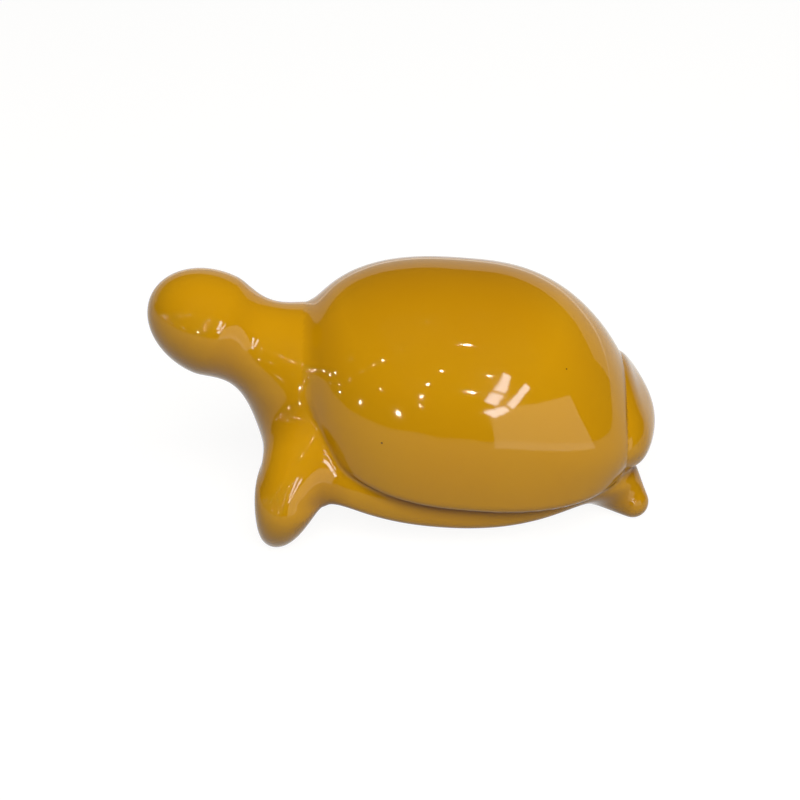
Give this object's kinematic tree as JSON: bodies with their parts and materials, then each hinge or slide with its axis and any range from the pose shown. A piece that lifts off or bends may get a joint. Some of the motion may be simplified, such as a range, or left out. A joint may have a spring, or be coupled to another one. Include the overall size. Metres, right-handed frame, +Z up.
{
  "type": "turtle figurine",
  "caption": "Glazed ceramic turtle figurine with a high domed carapace, raised plain head and splayed legs; a free-standing ornament that rests on its feet.",
  "frame": {"origin": "middle of the bounding box at floor level, under the body, on the plane the feet stand on", "axes": "+Z up; +X towards the tail, so the head points along -X; the turtle's left side is towards -Y"},
  "size_m": [0.2915, 0.1648, 0.1415],
  "materials": {
    "ochre_glaze": "gloss"
  },
  "bodies": {
    "root": {"carapace": "ochre_glaze", "trunk": "ochre_glaze", "head_and_neck": "ochre_glaze", "front_left_leg": "ochre_glaze", "front_right_leg": "ochre_glaze", "rear_left_leg": "ochre_glaze", "rear_right_leg": "ochre_glaze"}
  },
  "joints": []
}
